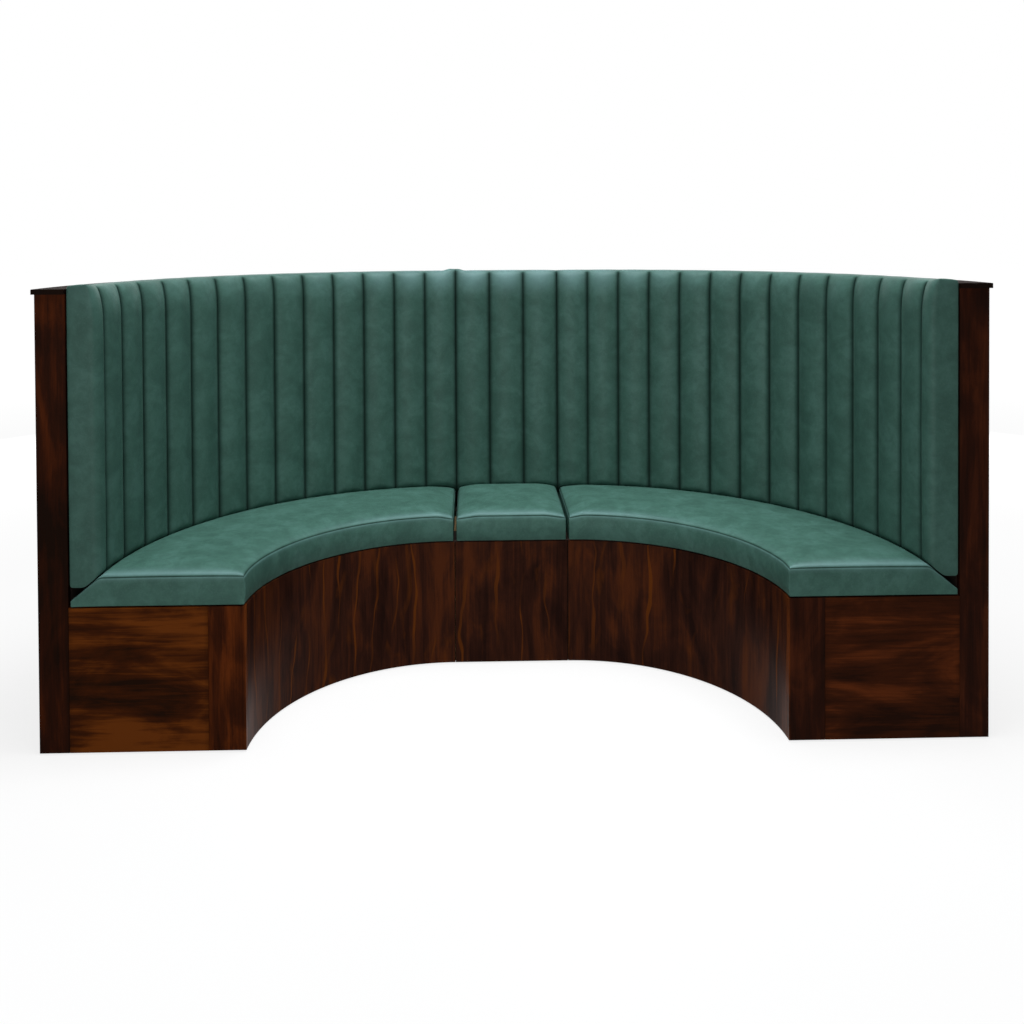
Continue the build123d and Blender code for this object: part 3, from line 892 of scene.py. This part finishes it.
def across_place(tree, place, module):
    """How far round a module a point lies, in metres, for grain that stands upright."""
    split = put(tree, "ShaderNodeSeparateXYZ", {"Vector": place})
    x, y = split.outputs["X"], split.outputs["Y"]
    if module == "centre":
        return x
    out = math_node(tree, "SUBTRACT", math_node(tree, "ABSOLUTE", x), HALF_CENTRE)
    depth = math_node(tree, "SUBTRACT", y, END_Y)
    turn = math_node(tree, "ARCTAN2", depth, out)
    grain = 1.0 if module == "right" else -LEFT_GRAIN
    return product(tree, turn, BASE_FRONT * grain)


def board_noise(tree, board, across, along, *texture):
    """Noise with one scale across a board and another along it."""
    return noise_node(tree, scaled(tree, board, across, along, 1.0), 1.0, *texture)


def veins_of(tree, board, across):
    """Thin bright lines that waver along the board and come and go, and soft smudges."""
    drift = level(tree, board_noise(tree, board, *VEIN_DRIFT), *DRIFT_RANGE)
    phase = product(tree, math_node(tree, "ADD", across, drift), VEINS_PER_METRE)
    wave = math_node(tree, "PINGPONG", phase, 1.0)
    edge = level(tree, board_noise(tree, board, *VEIN_EDGE), *EDGE_RANGE)
    line = level(tree, math_node(tree, "SUBTRACT", wave, edge), *LINE_RANGE)
    shown = level(tree, board_noise(tree, board, *VEIN_SHOWN), *SHOWN_RANGE)
    smudge = level(tree, board_noise(tree, board, *VEIN_SMUDGE), *SMUDGE_RANGE)
    return math_node(tree, "MAXIMUM", product(tree, line, shown), product(tree, smudge, SMUDGE_SHARE))


def mark_board_edges(tree, colour, reach, smoke, dark):
    """Darker near the seams between the boards of a free end, and wear on its inner edge."""
    for seam in BOARD_SEAMS:
        seam_dark = level(tree, distance_to(tree, reach, seam), *SEAM_DARK_RANGE)
        colour = mix_colours(tree, product(tree, seam_dark, smoke), colour, dark)
    wear = level(tree, distance_to(tree, reach, STILE_EDGE), *WEAR_RANGE)
    patchy = product(tree, wear, level(tree, smoke, *WEAR_PATCHES))
    return mix_colours(tree, patchy, colour, WOOD_WORN)


def mark_module_joints(tree, colour, reach):
    """A dark line where two modules meet."""
    line = level(tree, distance_to(tree, reach, HALF_CENTRE), *JOINT_RANGE)
    return mix_colours(tree, line, colour, WOOD_JOINT)


def walnut(name, run, tones, module=None, shift=0.0, veins=0.0, glow=0.0, post_lift=0.0):
    """Stained, varnished wood in streaks and smoky bands. Glow lightens the top and bottom of a board
    against its middle, and the post lift lightens its upper part and darkens its lower part."""
    material = new_material(name)
    tree = material.node_tree
    place = object_place(tree)
    split = put(tree, "ShaderNodeSeparateXYZ", {"Vector": place})
    x, height = split.outputs["X"], split.outputs["Z"]
    if run == LEVEL:
        along, across = x, height
    else:
        along, across = height, x
    if module:
        across = across_place(tree, place, module)
    across = math_node(tree, "ADD", across, shift)
    board = put(tree, "ShaderNodeCombineXYZ", {"X": across, "Y": along, "Z": shift}).outputs["Vector"]
    streaks = board_noise(tree, board, *WOOD_STREAKS)
    smoke = board_noise(tree, board, *WOOD_SMOKE)
    lines = board_noise(tree, board, *WOOD_LINES)
    tone = math_node(tree, "MULTIPLY_ADD", streaks, STREAK_TONE, product(tree, smoke, SMOKE_TONE))
    tone = math_node(tree, "MULTIPLY_ADD", lines, LINE_TONE, tone)
    if glow:
        from_middle = distance_to(tree, height, PANEL_MIDDLE)
        tone = math_node(tree, "ADD", tone, level(tree, from_middle, *GLOW_REACH, GLOW_LOW * glow, glow))
    if post_lift:
        lift = level(tree, height, *POST_LIFT_REACH, POST_LIFT_LOW * post_lift, post_lift)
        tone = math_node(tree, "ADD", tone, lift)
    colour = ramp(tree, level(tree, tone, *TONE_RANGE), zip(TONE_STOPS, tones))
    if veins:
        colour = mix_colours(tree, product(tree, veins_of(tree, board, across), veins), colour, WOOD_VEIN)
    reach = math_node(tree, "ABSOLUTE", x)
    if module:
        colour = mark_module_joints(tree, colour, reach)
    else:
        colour = mark_board_edges(tree, colour, reach, smoke, tones[0])
    relief = math_node(tree, "MULTIPLY_ADD", lines, LINE_RELIEF, product(tree, streaks, STREAK_RELIEF))
    normal = bump(tree, relief, *WOOD_BUMP)
    rough = level(tree, streaks, *WOOD_ROUGH)
    finish_material(tree, {"Base Color": colour, "Roughness": rough, "Normal": normal,
                           "Specular IOR Level": WOOD_SPECULAR, "Specular Tint": WOOD_TINT})
    return material


def black_lacquer():
    """Worn, nearly matt black of the capping rail."""
    material = new_material("black_lacquer")
    tree = material.node_tree
    place = object_place(tree)
    wear = noise_node(tree, place, 45.0, 5.0, 0.65)
    colour = ramp(tree, wear, ((0.35, rgb(17, 9, 6)), (0.6, rgb(25, 14, 9)), (0.85, rgb(44, 24, 16))))
    normal = bump(tree, noise_node(tree, scaled(tree, place, 1.0, 1.0, 0.3), 300.0, 3.0), 0.0002, 0.3)
    finish_material(tree, {"Base Color": colour, "Roughness": level(tree, wear, 0.3, 0.7, 0.55, 0.68),
                           "Normal": normal, "Specular IOR Level": WOOD_SPECULAR})
    return material


PLIES_PER_METRE = 280.0
RINGS = 16.0


def plywood(name, dark, light, face_up):
    """Sheet birch: plies show on its edges, and soft grain on its faces."""
    material = new_material(name)
    tree = material.node_tree
    place = object_place(tree)
    split = put(tree, "ShaderNodeSeparateXYZ", {"Vector": place})
    through = split.outputs["Z"] if face_up else split.outputs["Y"]
    plies = math_node(tree, "PINGPONG", product(tree, through, PLIES_PER_METRE), 1.0)
    grain = noise_node(tree, scaled(tree, place, 6.0, 60.0, 60.0), 1.0, 4.0, 0.6, 0.5)
    blotch = noise_node(tree, place, 7.0, 3.0)
    tone = math_node(tree, "ADD", product(tree, grain, 0.7), product(tree, blotch, 0.3))
    colour = ramp(tree, tone, ((0.35, dark), (0.65, light)))
    colour = mix_colours(tree, level(tree, plies, 0.55, 0.8, 0.0, 0.3), colour, dark)
    normal = bump(tree, grain, 0.0003, 0.4)
    finish_material(tree, {"Base Color": colour, "Roughness": level(tree, grain, 0.3, 0.7, 0.6, 0.75),
                           "Normal": normal})
    return material


def pine():
    """Sawn timber with soft growth rings."""
    material = new_material("pine")
    tree = material.node_tree
    place = object_place(tree)
    rings = noise_node(tree, scaled(tree, place, 9.0, 9.0, 0.8), 2.0, 3.0, 0.5, 0.3)
    rings = math_node(tree, "PINGPONG", product(tree, rings, RINGS), 1.0)
    fibres = noise_node(tree, scaled(tree, place, 300.0, 300.0, 8.0), 1.0, 3.0, 0.6)
    colour = ramp(tree, rings, ((0.1, rgb(206, 166, 112)), (0.8, rgb(176, 126, 74))))
    colour = mix_colours(tree, level(tree, fibres, 0.4, 0.7, 0.0, 0.25), colour, rgb(150, 104, 60))
    finish_material(tree, {"Base Color": colour, "Roughness": level(tree, fibres, 0.3, 0.7, 0.6, 0.75),
                           "Normal": bump(tree, fibres, 0.0003, 0.4)})
    return material


def nylon():
    """Scuffed black plastic of the glides."""
    material = new_material("nylon")
    tree = material.node_tree
    place = object_place(tree)
    scuffs = noise_node(tree, place, 260.0, 4.0, 0.7)
    colour = ramp(tree, scuffs, ((0.35, rgb(30, 30, 31)), (0.7, rgb(52, 52, 54))))
    finish_material(tree, {"Base Color": colour, "Roughness": level(tree, scuffs, 0.3, 0.7, 0.45, 0.65),
                           "Normal": bump(tree, scuffs, 0.0001, 0.5)})
    return material


def zinc_steel():
    """Spangled zinc plate of the fasteners."""
    material = new_material("zinc_steel")
    tree = material.node_tree
    place = object_place(tree)
    spangle = put(tree, "ShaderNodeTexVoronoi", {"Vector": place, "Scale": 340.0}).outputs["Color"]
    tint = noise_node(tree, place, 90.0, 3.0)
    colour = mix_colours(tree, 0.12, rgb(176, 178, 176), spangle, "SOFT_LIGHT")
    colour = mix_colours(tree, level(tree, tint, 0.4, 0.7, 0.0, 0.3), colour, rgb(150, 146, 128))
    finish_material(tree, {"Base Color": colour, "Metallic": 1.0,
                           "Roughness": level(tree, tint, 0.3, 0.7, 0.3, 0.45)})
    return material


# Finish of every node of the frame

WOOD_PANEL = (rgb(29, 13, 5), rgb(64, 28, 8), rgb(114, 58, 18))
WOOD_POST = (rgb(23, 9, 4), rgb(47, 19, 8), rgb(80, 35, 13))
WOOD_STILE = (rgb(28, 10, 4), rgb(61, 26, 10), rgb(104, 48, 17))
WOOD_DULL = (rgb(31, 15, 10), rgb(50, 23, 14), rgb(79, 38, 21))
WOOD_DULL_PANEL = (rgb(37, 17, 9), rgb(67, 31, 15), rgb(108, 52, 24))
WOOD_BASE = (rgb(32, 15, 11), rgb(55, 28, 19), rgb(84, 42, 22))
PLY_PALE = (rgb(176, 138, 92), rgb(214, 180, 132))
# Dark plywood that stands in for the shade in the gaps under and behind the pads: painted shade
PLY_PAINTED_SHADE = (rgb(26, 17, 11), rgb(46, 31, 21))

# Panel, stile and post of each free end, with the panel's glow and how much the post is lightened towards
# its top
END_FINISH = {"left": (WOOD_PANEL, WOOD_STILE, WOOD_POST, 0.075, 0.055),
              "right": (WOOD_DULL_PANEL, WOOD_DULL, WOOD_DULL, -0.02, 0.0)}


# How much wood lies between one board's piece of grain and the next one's
MODULE_SHIFT = 1.7
SKIN_SHIFT = 0.6
END_SHIFT = 0.9
STILE_SHIFT = 0.3
POST_SHIFT = 0.5


def finish_nodes():
    ply_flat = plywood("plywood_flat", *PLY_PALE, True)
    ply_upright = plywood("plywood_upright", *PLY_PALE, False)
    # Dark plywood for the seat rails and back board, as painted shade in the gaps
    ply_painted_shade = plywood("plywood_painted_shade", *PLY_PAINTED_SHADE, True)
    shared = {
        "seat_board": ply_flat,
        "base_plate": ply_flat,
        "seat_rails": ply_painted_shade,
        "back_top_plate": ply_flat,
        "back_noggings": ply_flat,
        "base_ribs": ply_upright,
        "back_board": ply_painted_shade,
        "back_studs": pine(),
        "top_cap": black_lacquer(),
        "floor_glides": nylon(),
    }
    steel = zinc_steel()
    for fastener in ("gable_bolts", "stud_bolts", "joint_nuts", "back_pad_screws"):
        shared[fastener] = steel
    for number, module in enumerate(("left", "centre", "right")):
        shift = MODULE_SHIFT * number
        shared["base_front_" + module] = walnut("walnut_base_" + module, UPRIGHT, WOOD_BASE,
                                                module=module, shift=shift, veins=0.75)
        shared["back_skin_" + module] = walnut("walnut_skin_" + module, UPRIGHT, WOOD_BASE,
                                               module=module, shift=shift + SKIN_SHIFT, veins=0.6)
    for number, module in enumerate(("left", "right")):
        shift = END_SHIFT * number
        panel, stile, post, glow, post_lift = END_FINISH[module]
        shared["end_panel_" + module] = walnut("walnut_panel_" + module, LEVEL, panel,
                                               shift=shift, glow=glow)
        shared["end_stile_" + module] = walnut("walnut_stile_" + module, UPRIGHT, stile,
                                               shift=shift + STILE_SHIFT)
        shared["end_post_" + module] = walnut("walnut_post_" + module, UPRIGHT, post,
                                              shift=shift + POST_SHIFT, post_lift=post_lift)
    for name, piece in nodes.items():
        short = name.rsplit("_", 1)[0]
        material = shared.get(name) or shared.get(short)
        if material:
            piece.data.materials.clear()
            piece.data.materials.append(material)


# Camera, as the photograph's was

def photo_camera():
    """Focal length and optical middle are in pixels, the place in metres and turns in radians."""
    size = 1024
    focal = 1042.4
    middle = (499.0, 250.0)
    place = (-0.1098, -3.1263, 1.2991)
    yaw, pitch, roll = 0.0248, 0.0166, -0.0056
    level_forward = Vector((math.sin(yaw), math.cos(yaw), 0))
    level_right = Vector((math.cos(yaw), -math.sin(yaw), 0))
    above = Vector((0, 0, 1))
    forward = math.cos(pitch) * level_forward - math.sin(pitch) * above
    straight_up = math.sin(pitch) * level_forward + math.cos(pitch) * above
    right = math.cos(roll) * level_right + math.sin(roll) * straight_up
    up = math.cos(roll) * straight_up - math.sin(roll) * level_right
    camera = bpy.data.objects.new("camera", bpy.data.cameras.new("camera"))
    bpy.context.scene.collection.objects.link(camera)
    turned = Matrix((right, up, -forward)).transposed().to_4x4()
    camera.matrix_world = Matrix.Translation(place) @ turned
    camera.data.sensor_width = 36.0
    camera.data.lens = focal / size * camera.data.sensor_width
    camera.data.shift_x = (size / 2 - middle[0]) / size
    camera.data.shift_y = (middle[1] - size / 2) / size
    bpy.context.scene.camera = camera


# Floor, world and lamps

FLOOR_REACH = 30.0
FLOOR_DARK = (0.2, 0.2, 0.2, 1)
FLOOR_PALE = (0.22, 0.22, 0.22, 1)

# How white the camera sees the floor: from and to these distances, and from and to these shares
FLOOR_WHITE = (2.0, 7.0, 0.8, 1.0)
AMBIENT_COLOUR = (0.97, 0.99, 1.0, 1)
AMBIENT_STRENGTH = 0.03

COOL = (0.98, 0.99, 1.0)
WARM = (1.0, 0.99, 0.97)
LAMP_TARGET = (0.0, 0.0, 0.6)

# Place, width and height, watts and colour of each lamp
LAMPS = {
    "top_lamp": ((0.2, -0.5, 4.6), (3.4, 2.4), 214.0, COOL),
    "front_lamp": ((-0.9, -4.6, 0.8), (2.6, 1.2), 54.0, WARM),
    "rear_lamp_left": ((-3.4, 3.3, 0.65), (2.4, 0.8), 42.0, WARM),
    "rear_lamp_right": ((3.4, 3.3, 0.65), (2.4, 0.8), 42.0, WARM),
}


def clear_rays(tree):
    """1 for the camera's own rays and those that reflections and glass send on."""
    path = put(tree, "ShaderNodeLightPath")
    seen = math_node(tree, "MAXIMUM", path.outputs["Is Camera Ray"], path.outputs["Is Glossy Ray"])
    return math_node(tree, "MAXIMUM", seen, path.outputs["Is Transmission Ray"])


def white_for_camera(tree, shader, brightness):
    """Adds a glow that only the camera and clear reflections see."""
    seen = clear_rays(tree)
    glow = put(tree, "ShaderNodeEmission", {"Color": (1, 1, 1, 1), "Strength": brightness})
    hidden = put(tree, "ShaderNodeEmission", {"Color": (0, 0, 0, 1), "Strength": 0.0})
    chosen = put(tree, "ShaderNodeMixShader", {0: seen, 1: hidden.outputs[0], 2: glow.outputs[0]})
    total = put(tree, "ShaderNodeAddShader", {0: shader, 1: chosen.outputs[0]})
    output = put(tree, "ShaderNodeOutputMaterial")
    tree.links.new(total.outputs[0], output.inputs["Surface"])


def floor():
    mesh = bpy.data.meshes.new("floor")
    near, far = -FLOOR_REACH, FLOOR_REACH
    corners = [(near, near, 0), (far, near, 0), (far, far, 0), (near, far, 0)]
    mesh.from_pydata(corners, [], [(0, 1, 2, 3)])
    piece = bpy.data.objects.new("floor", mesh)
    bpy.context.scene.collection.objects.link(piece)
    material = new_material("pale_floor")
    tree = material.node_tree
    place = object_place(tree)
    soft = noise_node(tree, place, 0.6, 2.0)
    colour = ramp(tree, soft, ((0.3, FLOOR_DARK), (0.7, FLOOR_PALE)))
    shader = put(tree, "ShaderNodeBsdfDiffuse", {"Color": colour})
    distance = put(tree, "ShaderNodeVectorMath", {0: place}, operation="LENGTH").outputs["Value"]
    white_for_camera(tree, shader.outputs[0], level(tree, distance, *FLOOR_WHITE))
    mesh.materials.append(material)


def world():
    background = bpy.data.worlds.new("world")
    background.use_nodes = True
    tree = background.node_tree
    tree.nodes.clear()
    seen = clear_rays(tree)
    values = {"Color": AMBIENT_COLOUR, "Strength": AMBIENT_STRENGTH}
    ambient = put(tree, "ShaderNodeBackground", values)
    white = put(tree, "ShaderNodeBackground", {"Color": (1, 1, 1, 1), "Strength": 1.0})
    chosen = put(tree, "ShaderNodeMixShader", {0: seen, 1: ambient.outputs[0], 2: white.outputs[0]})
    output = put(tree, "ShaderNodeOutputWorld")
    tree.links.new(chosen.outputs[0], output.inputs["Surface"])
    bpy.context.scene.world = background


def lamp(name, place, size, power, colour):
    data = bpy.data.lights.new(name, "AREA")
    data.shape = "RECTANGLE"
    data.size, data.size_y = size
    data.energy = power
    data.color = colour
    piece = bpy.data.objects.new(name, data)
    bpy.context.scene.collection.objects.link(piece)
    piece.location = place
    aim = Vector(LAMP_TARGET) - Vector(place)
    piece.rotation_mode = "QUATERNION"
    piece.rotation_quaternion = aim.to_track_quat("-Z", "Y")
    piece.visible_camera = False


# Making everything

def upholster():
    """Makes the six pads, swells them, gives each its finish and body, and hides the frame's pad that it
    takes the place of.
    """
    seats = {module: seat_pad(module) for module in ("left", "centre", "right")}
    backs = {module: back_pad(module) for module in ("left", "centre", "right")}
    made = list(seats.values()) + list(backs.values())
    puff([shape.object for shape, _ in made], [caps for _, caps in made])
    seat_leather = green_leather("green_leather_seat", 1.0)
    # The backs get a darker copy of the leather: painted shade
    back_leather_painted_shade = green_leather("green_leather_back_painted_shade", BACK_PAINTED_SHADE)
    for module, (shape, _) in seats.items():
        pull_seam(shape)
        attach(shape.object, "seat_" + module)
        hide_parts("seat_pad_" + module)
        shape.object.data.materials.append(seat_leather)
    for module, (shape, _) in backs.items():
        last = shape.counts[0]
        crease_rims(shape, (0, last) if module == "centre" else (last,))
        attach(shape.object, "booth_frame")
        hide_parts("back_pad_" + module)
        shape.object.data.materials.append(back_leather_painted_shade)
    for shape, _ in made:
        piece = shape.object
        for face in piece.data.polygons:
            face.use_smooth = True
        smooth = piece.modifiers.new("Smooth", "SUBSURF")
        smooth.levels = 1
        smooth.render_levels = 1


bpy.context.scene.view_settings.view_transform = "Standard"
photo_camera()
world()
for lamp_name, settings in LAMPS.items():
    lamp(lamp_name, *settings)
floor()
finish_nodes()
upholster()
